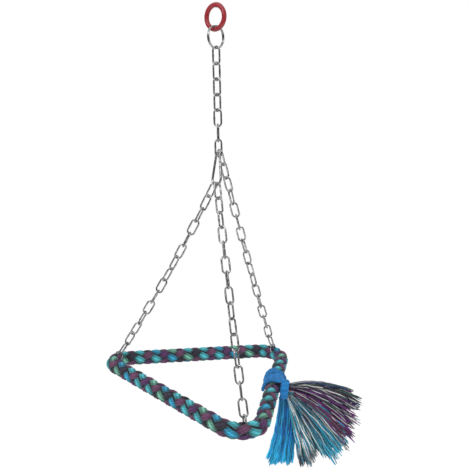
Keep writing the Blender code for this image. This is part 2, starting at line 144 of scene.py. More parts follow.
# Blue yarn of the tie
PLIES = 3
BLUE_PLY_DEPTH = 0.10
# Painted light of the blue yarn, higher on its plies
BLUE_LIGHT = 0.95
BLUE_PLY_LIGHT = 0.25
BLUE_TONE = 0.1
TURN_STEPS = 60
TURN_SIDES = 18
TURN_FLATTEN = 1.08
TURN_TWIST_LENGTH = 0.0022
WANDER = 0.00018
WANDERS_PER_TURN = 5
CROSSING_WRAPS = 6
WRAP_RADIUS = 0.0019
WRAP_SIDES = 14
WRAP_STEPS = 70
WRAP_ROUNDING = 9
WRAP_TWIST = 20
WRAP_TONES = (0.1, 0.45, 0.1, 0.75)
WRAP_OVER_ROPE = ((-0.0112, -0.0050, -0.002), (-0.0103, 0.0035, -0.001), (-0.0060, 0.0098, 0),
                  (0.0008, 0.0120, 0.001), (0.0075, 0.0118, 0.003))
WRAP_START = 0.0085
WRAP_SPACE = 0.0030
WRAP_NECK_START = 0.0020
WRAP_NECK_SPACE = 0.0011
WRAP_NECK_TURNS = (0.0, 0.5, 1.0, 1.5, 2.0)
WRAP_CLEARANCE = 0.0006
WRAP_LEAN = 0.3

# Neck of the fringe
NECK_STRANDS = 60
NECK_STRAND_RADIUS = 0.0011
NECK_STRAND_STEPS = 8
NECK_STRAND_SIDES = 8
NECK_STRAND_TWIST = 1.2
NECK_PLY_DEPTH = 0.1
NECK_FILL = 0.9
# Painted shade over the whole neck
NECK_LIGHT = 0.8
SEED_ANGLE = 2.399963

# Loose yarn of the fringe and the tails
YARN_SEED = 7
STRANDS_PER_BUNCH = 270
STRANDS_PER_TAIL = 200
STRAND_STEPS = 22
STRAND_SIDES = 6
REACH = np.linspace(0, 1, STRAND_STEPS)
LOOSE_ROOT_RADIUS = 0.00040
LOOSE_END_RADIUS = 0.00068
LOOSE_THICKNESS = (0.75, 1.25)
LOOSE_LIGHTS = (0.50, 1.45)
LOOSE_PLY_DEPTH = 0.16
LOOSE_TWIST = 1.6
LOOSE_TWIST_START = 6
CUT_TAPER = 0.5
# Painted shade at the roots of the loose strands, lifting towards the cut ends
ROOT_LIGHT = 0.70
END_LIGHT_GAIN = 0.35
LOCKS = 26
LOCK_EDGE = 0.97
LOCK_PULL = 0.34
LONGEST = 1.06
WAVES = ((1.3, 1.0), (3.6, 0.75))
WAVE_PACES = (0.7, 1.3)
WAVE_SWINGS = (0.4, 1.4)
WAVE_RISE = 0.6
DROOP_RISE = 2.2
BUNCH_LOOKS = {
    "fringe_top_bunch": ("slate_yarn", 0.75, 1.15),
    "fringe_plum_bunch": ("plum_yarn", 0.40, 1.30),
    "fringe_teal_bunch": ("teal_yarn", 0.90, 1.70),
    "fringe_cream_bunch": ("cream_yarn", 0.90, 1.95),
}
FRINGE_STYLE = {"ragged": 0.17, "wave": 0.0009, "root_depth": 0.0040, "droop": 0.009}
FRINGE_BEND = (-0.003, 0.008)
FRINGE_SET_BACK = 0.0070
FRINGE_SPREAD = 1.38
FRINGE_ARCH = 0.0075
TAIL_STYLE = {"ragged": 0.10, "wave": 0.0007, "root_depth": 0.0030, "droop": 0.0, "arch": 0.0, "stray": 0.6}
# Painted light: the left tail is painted lighter than the right, though both are the same blue yarn
TAIL_PAINTED_LIGHT = {"left": 1.70, "right": 1.40}
TAIL_FILL = 1.30
TAIL_SWELL = 2.2
TAIL_SHIFT = -0.0030
TAIL_NEAR = 0.42


class Signal:
    """A shader value on which arithmetic adds Math nodes."""

    def __init__(self, nodes, socket):
        self.nodes = nodes
        self.socket = socket

    def join(self, operation, first, second):
        return self.nodes.out("Math", {0: first, 1: second}, operation=operation)

    def __add__(self, other):
        return self.join("ADD", self, other)

    __radd__ = __add__

    def __mul__(self, other):
        return self.join("MULTIPLY", self, other)

    __rmul__ = __mul__

    def most(self, other):
        return self.join("MAXIMUM", self, other)


class Nodes:
    """A tree of shader nodes, each made by one method."""

    def __init__(self, tree):
        self.tree = tree

    def node(self, kind, inputs, **settings):
        made = self.tree.nodes.new("ShaderNode" + kind)
        for name, value in settings.items():
            setattr(made, name, value)
        for name, value in inputs.items():
            self.feed(made.inputs[name], value)
        return made

    def out(self, kind, inputs, output=0, **settings):
        return Signal(self, self.node(kind, inputs, **settings).outputs[output])

    def feed(self, socket, value):
        if isinstance(value, Signal):
            self.tree.links.new(value.socket, socket)
        else:
            socket.default_value = value


class Finish(Nodes):
    """One material and the nodes that feed its shader."""

    def __init__(self, name, **constants):
        self.material = bpy.data.materials.new(name)
        self.material.use_nodes = True
        super().__init__(self.material.node_tree)
        self.shader = self.tree.nodes["Principled BSDF"]
        for socket, value in constants.items():
            self.shader.inputs[socket.replace("_", " ")].default_value = value

    def mark(self, name):
        """A number stored on the mesh's points."""
        return self.out("Attribute", {}, "Fac", attribute_name=name)

    def noise(self, scale, detail=3.0, vector=None, roughness=0.5):
        vector = vector or self.out("TexCoord", {}, "Object")
        inputs = {"Scale": scale, "Detail": detail, "Roughness": roughness, "Vector": vector}
        return self.out("TexNoise", inputs, "Fac")

    def ramp(self, value, stops, kind="LINEAR"):
        made = self.node("ValToRGB", {0: value})
        made.color_ramp.interpolation = kind
        elements = made.color_ramp.elements
        elements.remove(elements[-1])
        for number, (place, colour) in enumerate(stops):
            element = elements.new(place) if number else elements[0]
            element.position = place
            element.color = (*colour, 1)
        return Signal(self, made.outputs["Color"])

    def spread(self, value, span, onto):
        """The value moved from one range onto another, and held inside that."""
        return self.out("MapRange", {0: value, 1: span[0], 2: span[1], 3: onto[0], 4: onto[1]})

    def mix(self, share, first, second, blend="MIX"):
        return self.out("Mix", {0: share, 6: first, 7: second}, 2, data_type="RGBA", blend_type=blend)

    def bump(self, height, strength, distance):
        self.paint(Normal=self.out("Bump", {"Height": height, "Strength": strength, "Distance": distance}))

    def paint(self, **signals):
        for socket, value in signals.items():
            self.feed(self.shader.inputs[socket.replace("_", " ")], value)
        return self.material


def rgb(red, green, blue):
    return (red, green, blue, 1)


def make_red_plastic():
    """Moulded crimson plastic, rubbed paler in scattered patches."""
    finish = Finish("red_plastic", IOR=1.48)
    cloud = finish.noise(90, detail=4)
    grain = finish.noise(2600, detail=2)
    worn = finish.spread(finish.noise(420, detail=5), (0.56, 0.72), (0, 0.35))
    base = finish.mix(cloud, rgb(0.30, 0.014, 0.024), rgb(0.43, 0.036, 0.045))
    finish.bump(0.6 * grain + 0.4 * cloud, strength=0.15, distance=0.0002)
    return finish.paint(Base_Color=finish.mix(worn, base, rgb(0.60, 0.22, 0.22)),
                        Roughness=finish.spread(cloud, (0.3, 0.7), (0.10, 0.24)))


def make_plated_steel():
    """Nickel plated wire with drawn scratches and darker film in patches."""
    finish = Finish("plated_steel", Metallic=1.0)
    film = finish.noise(260, detail=5)
    scratch = finish.noise(1800, detail=6, roughness=0.7)
    greys = [(0.30, (0.20, 0.20, 0.21)), (0.50, (0.42, 0.42, 0.43)), (0.72, (0.70, 0.70, 0.69))]
    finish.bump(scratch, strength=0.25, distance=0.0001)
    return finish.paint(Base_Color=finish.ramp(film, greys),
                        Roughness=finish.spread(scratch, (0.3, 0.7), (0.08, 0.24)))


def make_core_wire():
    """Plain drawn wire inside the rope."""
    finish = Finish("core_wire", Metallic=1.0)
    film = finish.noise(500, detail=5)
    finish.bump(film, strength=0.2, distance=0.0002)
    return finish.paint(Base_Color=finish.mix(film, rgb(0.30, 0.30, 0.31), rgb(0.50, 0.50, 0.50)),
                        Roughness=finish.spread(film, (0.3, 0.7), (0.4, 0.6)))


FIBRES_ROUND = 9
FIBRES_ALONG = 420
TIP_SHARE = 0.70


def make_yarn(name, palette, tip):
    """Spun cotton: colour by strand, streaks along the fibres, shade where strands dive under others."""
    finish = Finish(name, Sheen_Weight=0.15, Sheen_Roughness=0.5, Specular_IOR_Level=0.25)
    stops = [(number / len(palette), colour) for number, colour in enumerate(palette)]
    dyed = finish.ramp(finish.mark("tone"), stops, "CONSTANT")
    if tip:
        colour, start = tip
        share = finish.spread(finish.mark("reach"), (start, 1.0), (0, TIP_SHARE))
        dyed = finish.mix(share, dyed, rgb(*colour))
    fibres = finish.out("CombineXYZ", {
        0: finish.mark("round_x") * FIBRES_ROUND,
        1: finish.mark("round_y") * FIBRES_ROUND,
        2: finish.mark("along") * FIBRES_ALONG,
    })
    streak = finish.noise(1.0, detail=4, vector=fibres, roughness=0.65)
    fluff = finish.noise(2400, roughness=0.7)
    patch = finish.noise(60, detail=2)
    shade = finish.spread(streak, (0.25, 0.75), (0.55, 1.35))
    shade = shade * finish.spread(patch, (0.3, 0.7), (0.85, 1.15)) * finish.mark("light")
    lit = finish.mix(1.0, dyed, finish.out("CombineColor", {0: shade, 1: shade, 2: shade}), "MULTIPLY")
    pale = finish.spread(fluff, (0.52, 0.72), (0, 0.34))
    finish.bump(0.7 * streak + 0.3 * fluff, strength=0.7, distance=0.0006)
    return finish.paint(Base_Color=finish.mix(pale, lit, rgb(0.60, 0.66, 0.68)),
                        Roughness=finish.spread(fluff, (0.3, 0.7), (0.75, 0.95)))


# Dyes of the cotton
TEAL = (0.045, 0.300, 0.340)
CYAN = (0.020, 0.270, 0.430)
BLUE = (0.050, 0.200, 0.380)
PLUM = (0.130, 0.040, 0.105)
VIOLET = (0.075, 0.020, 0.095)
GREEN = (0.035, 0.150, 0.100)
LEAF = (0.090, 0.250, 0.190)
INK = (0.025, 0.018, 0.040)
NAVY = (0.020, 0.070, 0.240)
PALE = (0.480, 0.520, 0.520)
CREAM = (0.620, 0.620, 0.590)
BROWN = (0.060, 0.040, 0.045)
BRIGHT = (0.004, 0.230, 0.620)
DEEP = (0.006, 0.130, 0.400)
AQUA = (0.020, 0.430, 0.650)
PURPLE = (0.135, 0.022, 0.170)
SKY = (0.020, 0.330, 0.480)

YARNS = {
    "braided_cotton": [TEAL, VIOLET, CYAN, PLUM, LEAF, INK, TEAL, PLUM],
    "blue_yarn": [BRIGHT, BRIGHT, DEEP, BRIGHT, AQUA, BRIGHT, AQUA],
    "slate_yarn": [INK, CREAM, INK, VIOLET, PALE, NAVY, CREAM, INK, PURPLE, GREEN, INK],
    "plum_yarn": [PURPLE, PLUM, PURPLE, CREAM, TEAL, PURPLE, INK, PURPLE, PALE, CYAN],
    "teal_yarn": [TEAL, CREAM, CYAN, INK, PALE, CYAN, TEAL, SKY, CREAM, INK, BLUE],
    "cream_yarn": [CREAM, TEAL, PALE, CYAN, CREAM, SKY, INK, CREAM, CYAN, PALE, TEAL],
}
# The colour of some yarns' cut ends, and the share of the strand where it starts
YARN_TIPS = {"blue_yarn": (AQUA, 0.55), "teal_yarn": (SKY, 0.55), "cream_yarn": (BROWN, 0.80)}

FINISHES = {
    "red_plastic": make_red_plastic(),
    "plated_steel": make_plated_steel(),
    "core_wire": make_core_wire(),
}
for name, palette in YARNS.items():
    FINISHES[name] = make_yarn(name, palette, YARN_TIPS.get(name))


def level(turn):
    """The level direction at an angle from the x axis."""
    return Vector((math.cos(turn), math.sin(turn), 0))


def unit(rows):
    """Rows of vectors, each made one long."""
    return rows / np.linalg.norm(rows, axis=1, keepdims=True)


def square_to(heading, rows):
    """The rows turned square to the headings and made one long."""
    return unit(rows - np.sum(rows * heading, 1, keepdims=True) * heading)


def tint(swept, **marks):
    """Stores one number for a whole tube under each name."""
    for name, value in marks.items():
        swept[2][name] = np.full(len(swept[0]), value)
    return swept


def sweep(points, across, up, size, sides, closed=False, lobes=0, lobe_depth=0.0, twist=None):
    """A tube along points, with one radius or two and with turning lobes: points, faces and marks."""
    count = len(points)
    width, depth = size if isinstance(size, tuple) else (size, size)
    across, up = (np.broadcast_to(rows, points.shape) for rows in (across, up))
    angles = np.arange(sides) * 2 * np.pi / sides
    turned = angles - (np.zeros(count) if twist is None else twist)[:, None]
    swell = 1 + lobe_depth * np.cos(lobes * turned)
    wide = np.cos(angles) * swell * np.broadcast_to(width, count)[:, None]
    deep = np.sin(angles) * swell * np.broadcast_to(depth, count)[:, None]
    ring = points[:, None, :] + wide[..., None] * across[:, None, :] + deep[..., None] * up[:, None, :]
    rows = np.arange(count * sides).reshape(count, sides)
    near, far = (rows, np.roll(rows, -1, 0)) if closed else (rows[:-1], rows[1:])
    faces = np.stack((near, np.roll(near, -1, 1), np.roll(far, -1, 1), far), -1).reshape(-1, 4).tolist()
    if not closed:
        faces += [rows[0][::-1].tolist(), rows[-1].tolist()]
    steps = np.linalg.norm(np.diff(points, axis=0), axis=1)
    along = np.concatenate(([0], np.cumsum(steps)))
    marks = {
        "along": np.repeat(along, sides),
        "round_x": np.cos(turned).ravel(),
        "round_y": np.sin(turned).ravel(),
    }
    return ring.reshape(-1, 3), faces, marks


def gather(parts):
    """Several swept tubes as one set of points, faces and marks."""
    points, faces, marks, start = [], [], {}, 0
    for part_points, part_faces, part_marks in parts:
        points.append(part_points)
        faces += [[corner + start for corner in face] for face in part_faces]
        start += len(part_points)
        for name, values in part_marks.items():
            marks.setdefault(name, []).append(values)
    return np.concatenate(points), faces, {name: np.concatenate(values) for name, values in marks.items()}


def ply_height(sides, twist):
    """How high each point of a swept yarn stands on its plies, from -1 to 1."""
    around = np.arange(sides) * 2 * np.pi / sides
    return np.cos(PLIES * (around - twist[:, None])).ravel()


def put(name, data):
    """Adds an object to the scene."""
    made = bpy.data.objects.new(name, data)
    bpy.context.collection.objects.link(made)
    return made


def add_piece(name, swept, slot, body, *nodes):
    """A mesh piece that stands for CAD nodes and rides on a body, if it is given one."""
    points, faces, marks = swept
    mesh = bpy.data.meshes.new(name)
    mesh.from_pydata(points.tolist(), [], faces)
    for mark, values in marks.items():
        mesh.attributes.new(mark, "FLOAT", "POINT").data.foreach_set("value", values.astype(np.float32))
    mesh.materials.append(FINISHES[slot])
    mesh.shade_smooth()
    made = put(name, mesh)
    if body:
        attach(made, body)
    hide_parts(*nodes)
    return made


def loop_frames(points):
    """Unit tangents of a closed row of points."""
    return unit(np.roll(points, -1, 0) - np.roll(points, 1, 0))


def line_frames(points):
    """Unit tangents of an open row of points."""
    return unit(np.gradient(points, axis=0))


def between(first, last, count):
    """Evenly spaced points between two others."""
    shares = np.arange(1, count + 1)[:, None] / (count + 1)
    return np.array(first) + (np.array(last) - np.array(first)) * shares


def along_path(places, known, rows):
    """Points at some places along a path whose own points have known places."""
    return np.stack([np.interp(places, known, rows[:, axis]) for axis in range(3)], -1)


# Metal

LINK_LOW = LINK_REACH - LINK_HALF
LINK_BOW_POINTS = 16
LINK_SIDE_POINTS = 7
LINK_SIDES = 12
WELD_SIZE = 0.16
WELD_LENGTH = 0.0011
PEAR_BOW_POINTS = 28
PEAR_SIDE_POINTS = 25
RING_STEPS = 96
RING_SIDES = 40
PARTING_RISE = 0.00012
SPLIT_STEPS = 72
SPLIT_SIDES = 14
SPLIT_SIZE = (SPLIT_WIRE / 2 * 1.05, SPLIT_WIRE / 2 * 1.12)


def link_line():
    """Centre line of one link from its top bow, and how much thicker the wire is at its weld."""
    rows = []
    for drop, other_drop, start in ((LINK_HALF, LINK_LOW, 0.0), (LINK_LOW, LINK_HALF, math.pi)):
        for step in range(LINK_BOW_POINTS + 1):
            angle = start + math.pi * step / LINK_BOW_POINTS
            rows.append((LINK_HALF * math.cos(angle), 0, LINK_HALF * math.sin(angle) - drop))
        rows += between(rows[-1], (rows[-1][0], 0, -other_drop), LINK_SIDE_POINTS).tolist()
    points = np.array(rows)
    height = points[:, 2] + LINK_REACH / 2
    weld = np.exp(-(height / WELD_LENGTH) ** 2) * (points[:, 0] > 0)
    return points, 1 + WELD_SIZE * weld


LINK_POINTS, LINK_SWELL = link_line()


def link_tube(matrix):
    """One smooth link at its place."""
    turn = np.array(matrix.to_3x3())
    points = LINK_POINTS @ turn.T + np.array(matrix.translation)
    normal = turn @ np.array(BACK)
    across = np.cross(normal, loop_frames(points))
    return sweep(points, across, normal, LINK_WIRE / 2 * LINK_SWELL, LINK_SIDES, closed=True)


def link_matrix(top, down, across):
    """Places a link with its top bow at a point, hanging along one direction and lying across another."""
    lift = -down.normalized()
    side = (across - across.dot(lift) * lift).normalized()
    matrix = Matrix((side, lift.cross(side), lift)).transposed().to_4x4()
    matrix.translation = top
    return matrix


def chain_distance(number):
    """How far down the chain a link's top bow is, counted from 1."""
    pressed = sum(1 for upper in PRESSED_PAIRS if upper < number)
    return PITCH * (number - 1) + (GAP + LINK_PRESS) * pressed


class PearLink:
    """The pear-shaped link, which carries two chains on its wide bow."""

    def __init__(self):
        across, up = PEAR_SEAT
        self.top = JUNCTION + level(UPPER_TURNS[-1]) * across + UP * up
        self.down = Vector(PEAR_DOWN).normalized()
        side = level(PEAR_TURN)
        self.across = (side - side.dot(self.down) * self.down).normalized()
        self.low_centre = self.top + self.down * (PEAR_INNER_LENGTH + PEAR_WIRE - PEAR_LOW_RADIUS)

    def low_point(self, angle):
        """A point on the wide bow's centre line and the wire's direction there."""
        outward = self.down * math.cos(angle) + self.across * math.sin(angle)
        wire = self.down * math.sin(angle) - self.across * math.cos(angle)
        return self.low_centre + outward * PEAR_LOW_RADIUS, wire

    def line(self):
        """Centre line of the whole link, from its narrow bow round its wide one."""
        top_centre = self.top + self.down * PEAR_TOP_RADIUS
        lean = math.asin((PEAR_LOW_RADIUS - PEAR_TOP_RADIUS) / (self.low_centre - top_centre).length)
        points = []
        for step in range(PEAR_BOW_POINTS):
            angle = (math.pi / 2 - lean) * (2 * step / (PEAR_BOW_POINTS - 1) - 1)
            outward = self.across * math.sin(angle) - self.down * math.cos(angle)
            points.append(top_centre + outward * PEAR_TOP_RADIUS)
        low = [self.low_point((math.pi / 2 + lean) * (1 - 2 * step / (PEAR_BOW_POINTS - 1)))[0]
               for step in range(PEAR_BOW_POINTS)]
        first_side = between(points[-1], low[0], PEAR_SIDE_POINTS)
        second_side = between(low[-1], points[0], PEAR_SIDE_POINTS)
        return np.concatenate((points, first_side, low, second_side))


def make_pear_link(pear):
    """Smooth round wire with a weld halfway up one side."""
    points = pear.line()
    normal = np.array(pear.across.cross(pear.down))
    across = np.cross(normal, loop_frames(points))
    weld = points[PEAR_BOW_POINTS + PEAR_SIDE_POINTS // 2]
    swell = 1 + WELD_SIZE * np.exp(-(np.linalg.norm(points - weld, axis=1) / WELD_LENGTH) ** 2)
    swept = sweep(points, across, normal, PEAR_WIRE / 2 * swell, LINK_SIDES, closed=True)
    add_piece("pear_link_wire", swept, "plated_steel", "perch", "pear_link")


class Chain:
    """The places of one chain's links."""

    def __init__(self, name, pear):
        self.name = name
        self.count = CHAIN_LINKS[name]
        if name in PEAR_PLACES:
            hold, wire = pear.low_point(PEAR_PLACES[name])
            self.lay(hold)
            self.lay(hold - self.headings[0] * ((PEAR_WIRE + LINK_WIRE) / 2 + GAP + PEAR_PLAY))
            self.first = self.headings[0].cross(wire).normalized()
        else:
            across, up, turn = TOP_SEAT
            self.lay(JUNCTION + level(UPPER_TURNS[-1]) * across + UP * up)
            start = self.headings[0]
            self.first = Matrix.Rotation(turn, 3, start) @ (BACK - BACK.dot(start) * start).normalized()

    def lay(self, top):
        """Hangs the links from a point down to the corner of the perch."""
        last_reach = LINK_REACH - CORE_RADIUS - GAP - LINK_WIRE / 2
        length = chain_distance(self.count) + last_reach
        sag = CHAIN_SAG[self.name]
        straight = length - 8 / 3 * sag ** 2 / length
        across, behind = CORNERS[self.name]
        flat = Vector((across - top.x, behind - top.y, 0))
        line = flat - UP * math.sqrt(straight ** 2 - flat.length_squared)
        below = (line.dot(UP) * line - line.dot(line) * UP).normalized()
        self.down = line.normalized()
        self.headings = []
        self.tops = [top]
        for number in range(1, self.count + 1):
            share = (number - 0.5) / self.count
            heading = (line + below * 4 * sag * (1 - 2 * share)).normalized()
            self.headings.append(heading)
            step = chain_distance(number + 1) - chain_distance(number)
            self.tops.append(self.tops[-1] + heading * step)
        self.corner = self.tops[self.count - 1] + self.headings[-1] * last_reach

    def set_turns(self, tangent):
        """Spreads the turn from the first link, across the wire above, to the last, square to the core."""
        last = self.headings[-1].cross(tangent).normalized()
        whole = math.atan2(self.first.cross(last).dot(self.down), self.first.dot(last))
        spaces = self.count - 1
        halves = round((LINK_STEP * spaces - whole) / math.pi)
        self.step = (whole + halves * math.pi) / spaces

    def matrix(self, number):
        """Places link number of this chain, counted from 1."""
        turn = Matrix.Rotation(self.step * (number - 1), 3, self.down)
        return link_matrix(self.tops[number - 1], self.headings[number - 1], turn @ self.first)


def upright_circle(angles, turn):
    """Unit vectors round an upright circle, by their angles from the top, and its axis."""
    plane = np.array(Matrix.Rotation(turn, 3, "Z"))
    flat = np.stack((np.sin(angles), np.zeros(len(angles)), np.cos(angles)), -1)
    return flat @ plane.T, plane @ np.array(BACK)


def make_hanging_ring():
    """Moulded ring with a fine parting line round its outside and inside."""
    angles = np.pi / 2 - np.arange(RING_STEPS) * 2 * np.pi / RING_STEPS
    outward, axis = upright_circle(angles, RING_TURN)
    middle = np.array(RING_CENTRE) + RING_RADIUS * outward
    points, faces, marks = sweep(middle, outward, axis, RING_TUBE / 2, RING_SIDES, closed=True)
    rows = points.reshape(RING_STEPS, RING_SIDES, 3)
    rows[:, 0] += outward * PARTING_RISE
    rows[:, RING_SIDES // 2] -= outward * PARTING_RISE
    swept = rows.reshape(-1, 3), faces, marks
    add_piece("ring_moulding", swept, "red_plastic", "hanging_ring", "hanging_ring")


def make_split_ring():
    """Two turns of spring wire that step over to each other at the top, with cut ends."""
    angles = np.arange(2 * SPLIT_STEPS + 1) * 2 * np.pi / SPLIT_STEPS
    outward, axis = upright_circle(angles, SPLIT_TURN)
    shift = (angles / (2 * np.pi) - 1) * SPLIT_PITCH
    points = np.array(SPLIT_CENTRE) + SPLIT_RADIUS * outward + shift[:, None] * axis
    swept = sweep(points, outward, axis, SPLIT_SIZE, SPLIT_SIDES)
    add_piece("split_ring_wire", swept, "plated_steel", "split_ring", "split_ring")


def make_chains(chains):
    """Every link, one piece for each body that carries some."""
    for number, turn in enumerate(UPPER_TURNS, 1):
        top = UP * (FIRST_LINK_TOP - PITCH * (number - 1))
        node = "upper_link_%d" % number
        swept = link_tube(link_matrix(top, -UP, level(turn)))
        add_piece(node + "_wire", swept, "plated_steel", node, node)
    upper, middle, lower = RUN_STARTS
    for chain in chains:
        runs = {"upper": range(upper, middle), "middle": range(middle, lower),
                "lower": range(lower, chain.count), "end": (1, chain.count)}
        for run, numbers in runs.items():
            body = "perch" if run == "end" else "%s_chain_%s" % (chain.name, run)
            nodes = []
            for number in numbers:
                if number in PRESSED_PAIRS:
                    nodes.append("%s_chain_links_%02d_%02d" % (chain.name, number, number + 1))
                elif number - 1 not in PRESSED_PAIRS:
                    nodes.append("%s_chain_link_%02d" % (chain.name, number))
            swept = gather([link_tube(chain.matrix(number)) for number in numbers])
            add_piece("%s_%s_links" % (chain.name, run), swept, "plated_steel", body, *nodes)


# Rope

TIP_ROUNDS = 12
BEND_STEPS = 8
FINE_BEND_STEPS = 24


class Loop:
    """The perch's centre line, a triangle with round corners."""

    def __init__(self, corners, radii):
        self.middle = sum(corners, Vector()) / 3
        self.normal = (corners[1] - corners[0]).cross(corners[2] - corners[0]).normalized()
        if self.normal.z < 0:
            self.normal.negate()
        self.radii = radii
        self.tips = corners
        for _ in range(TIP_ROUNDS):
            self.tips = [self.tip(corners, which) for which in range(3)]

    def bisector(self, which):
        """Half the angle between a corner's two sides, and the direction halfway between them."""
        one, two = ((self.tips[(which + step) % 3] - self.tips[which]).normalized() for step in (1, 2))
        return one.angle(two) / 2, (one + two).normalized()

    def tip(self, corners, which):
        """Where a corner's two sides would meet, so that its bend passes through the corner."""
        half, inward = self.bisector(which)
        return corners[which] - inward * self.radii[which] * (1 / math.sin(half) - 1)

    def bend(self, which, steps):
        """Points round one corner, from the side before to the side after."""
        half, inward = self.bisector(which)
        radius = self.radii[which]
        centre = self.tips[which] + inward * radius / math.sin(half)
        before = (self.tips[which] - self.tips[(which + 2) % 3]).normalized()
        turn_sign = 1 if before.cross(-inward).dot(self.normal) < 0 else -1
        sweep_angle = math.pi - 2 * half
        points = []
        for step in range(steps + 1):
            angle = turn_sign * sweep_angle * (step / steps - 0.5)
            points.append(centre + Matrix.Rotation(angle, 3, self.normal) @ -inward * radius)
        return points

    def tangent(self, which):
        """Direction of the rope at the middle of a corner."""
        points = self.bend(which, BEND_STEPS)
        middle = BEND_STEPS // 2
        return (points[middle + 1] - points[middle - 1]).normalized()

    def side(self, start, end, share):
        """A point and the tangent on the straight run between two corners."""
        first = self.bend(start, BEND_STEPS)[-1]
        last = self.bend(end, BEND_STEPS)[0]
        return first.lerp(last, share), (last - first).normalized()

    def line(self, start_point, step):
        """Evenly spaced points round the whole loop, from the one nearest to a given point."""
        rounds = [np.array(point) for which in range(3) for point in self.bend(which, FINE_BEND_STEPS)]
        rows = np.array(rounds + [rounds[0]])
        lengths = np.concatenate(([0], np.cumsum(np.linalg.norm(np.diff(rows, axis=0), axis=1))))
        count = round(lengths[-1] / step)
        places = np.linspace(0, lengths[-1], count, endpoint=False)
        points = along_path(places, lengths, rows)
        nearest = int(np.argmin(np.linalg.norm(points - np.array(start_point), axis=1)))
        return np.roll(points, -nearest, 0), lengths[-1]


def braid_yarn(points, across, lift, twist, dive, edge, random):
    """One cotton yarn of a strand, with painted shade where it dives, at the strand's edge and between its
    plies.
    """
    swept = sweep(points, across, lift, YARN_RADIUS, YARN_SIDES, closed=True,
                  lobes=PLIES, lobe_depth=YARN_PLY_DEPTH, twist=twist)
    high = np.repeat(0.5 + 0.5 * dive, YARN_SIDES)
    fade = np.clip(1.0 + FADE_SPREAD * random.standard_normal(), *FADE_LIMITS)
    height = STRAND_LOW_LIGHT + STRAND_HIGH_LIGHT * high ** STRAND_LIGHT_FALL
    plies = 1 + YARN_PLY_LIGHT * ply_height(YARN_SIDES, twist)
    # Painted shade where the strand dives under others, towards the strand's edges and between the plies
    swept[2]["light"] = height * (1 - STRAND_EDGE_SHADE * edge ** 2) * plies * fade
    return swept


def make_braid(loop, tie_point, random):
    """Eight strands of three cotton yarns each, braided over one and under one round a filler with painted
    shade.
    """
    centre, length = loop.line(tie_point, BRAID_STEP)
    normal = np.array(loop.normal)
    outward = np.cross(normal, loop_frames(centre))
    share = np.arange(len(centre)) / len(centre)
    phase = share * 2 * np.pi * round(length / (CROSSING_SPACE * STRANDS_EACH_WAY * 2))
    twist = share * 2 * np.pi * round(length / YARN_TWIST_LENGTH)
    strands = []
    for way in (1, -1):
        for number in range(STRANDS_EACH_WAY):
            angle = way * phase + 2 * np.pi * number / STRANDS_EACH_WAY
            dive = way * np.cos(STRANDS_EACH_WAY * phase)
            radial = np.cos(angle)[:, None] * outward + np.sin(angle)[:, None] * normal
            middle = centre + radial * (STRAND_RADIUS + STRAND_DIVE * dive)[:, None]
            heading = loop_frames(middle)
            lift = square_to(heading, radial)
            across = np.cross(heading, lift)
            tone = (number * 2 + (way < 0) + 0.5) / (2 * STRANDS_EACH_WAY)
            for yarn in range(YARNS_PER_STRAND):
                place = yarn - (YARNS_PER_STRAND - 1) / 2
                points = middle + across * place * YARN_SPACE - lift * abs(place) * YARN_DROP
                edge = 2 * abs(place) / (YARNS_PER_STRAND - 1)
                made = braid_yarn(points, across, lift, twist + number + yarn, dive, edge, random)
                strands.append(tint(made, tone=tone))
    filler = sweep(centre, outward, normal, FILLER_RADIUS, FILLER_SIDES, closed=True)
    # Painted shade: the filler, seen only between the strands, takes the ink dye and is darkened further
    strands.append(tint(filler, light=FILLER_LIGHT, tone=GAP_SHADE_TONE))
    add_piece("rope_braid", gather(strands), "braided_cotton", "perch", "braided_rope")


# Tie, fringe and tails

class Tie:
    """Where the blue yarn binds the rope and the neck of the fringe."""

    def __init__(self, loop):
        self.on_rope, backward = loop.side(1, 2, 1 - TIE_SHARE)
        self.along = -backward
        self.out = self.along.cross(loop.normal).normalized()
        if self.out.dot(self.on_rope - loop.middle) < 0:
            self.out.negate()
        self.up = loop.normal
        self.rope_half = (ROPE_TIE_TURNS * TIE_PITCH + TIE_YARN) / 2
        self.neck_turn_radius = NECK_RADIUS + GAP + TIE_YARN / 2
        self.neck_outer = self.neck_turn_radius + TIE_YARN / 2
        self.neck_half = (NECK_TIE_TURNS * TIE_PITCH + TIE_YARN) / 2
        self.neck_base = self.on_rope + self.along * (self.rope_half + GAP + self.neck_outer)
        self.neck_start = ROPE_RADIUS + GAP
        self.neck_turn_middle = self.neck_start + GAP + self.neck_half
        self.neck_end = self.neck_turn_middle + self.neck_half + NECK_SPARE
        self.flat_out = Vector((self.out.x, self.out.y, 0)).normalized()

    def on_neck(self, distance):
        """A point on the neck's centre line, measured out from the rope's."""
        return self.neck_base + self.out * distance


def blue_length(points, across, lift, size, sides, twist, tone):
    """One length of blue three-ply yarn, with painted light on its plies and painted shade between them."""
    swept = sweep(points, across, lift, size, sides, lobes=PLIES, lobe_depth=BLUE_PLY_DEPTH, twist=twist)
    # Painted light on the plies and painted shade in the creases between them
    swept[2]["light"] = BLUE_LIGHT + BLUE_PLY_LIGHT * ply_height(sides, twist)
    return tint(swept, tone=tone)


def yarn_turns(centre, axis, start, radius, turns, random):
    """Blue yarn wound about an axis, with some unevenness."""
    side = axis.cross(start)
    angle = np.arange(turns * TURN_STEPS + 1) * 2 * np.pi / TURN_STEPS
    outward = np.cos(angle)[:, None] * np.array(start) + np.sin(angle)[:, None] * np.array(side)
    wanders = turns * WANDERS_PER_TURN
    wander = np.interp(angle, np.linspace(0, angle[-1], wanders), random.normal(0, WANDER, wanders))
    shift = TIE_PITCH * (angle / (2 * np.pi) - turns / 2) + wander
    points = np.array(centre) + outward * radius + shift[:, None] * np.array(axis)
    heading = line_frames(points)
    lift = square_to(heading, outward)
    size = (TIE_YARN / 2 * TURN_FLATTEN, TIE_YARN / 2)
    twist = angle * radius / TURN_TWIST_LENGTH
    return blue_length(points, np.cross(heading, lift), lift, size, TURN_SIDES, twist, BLUE_TONE)


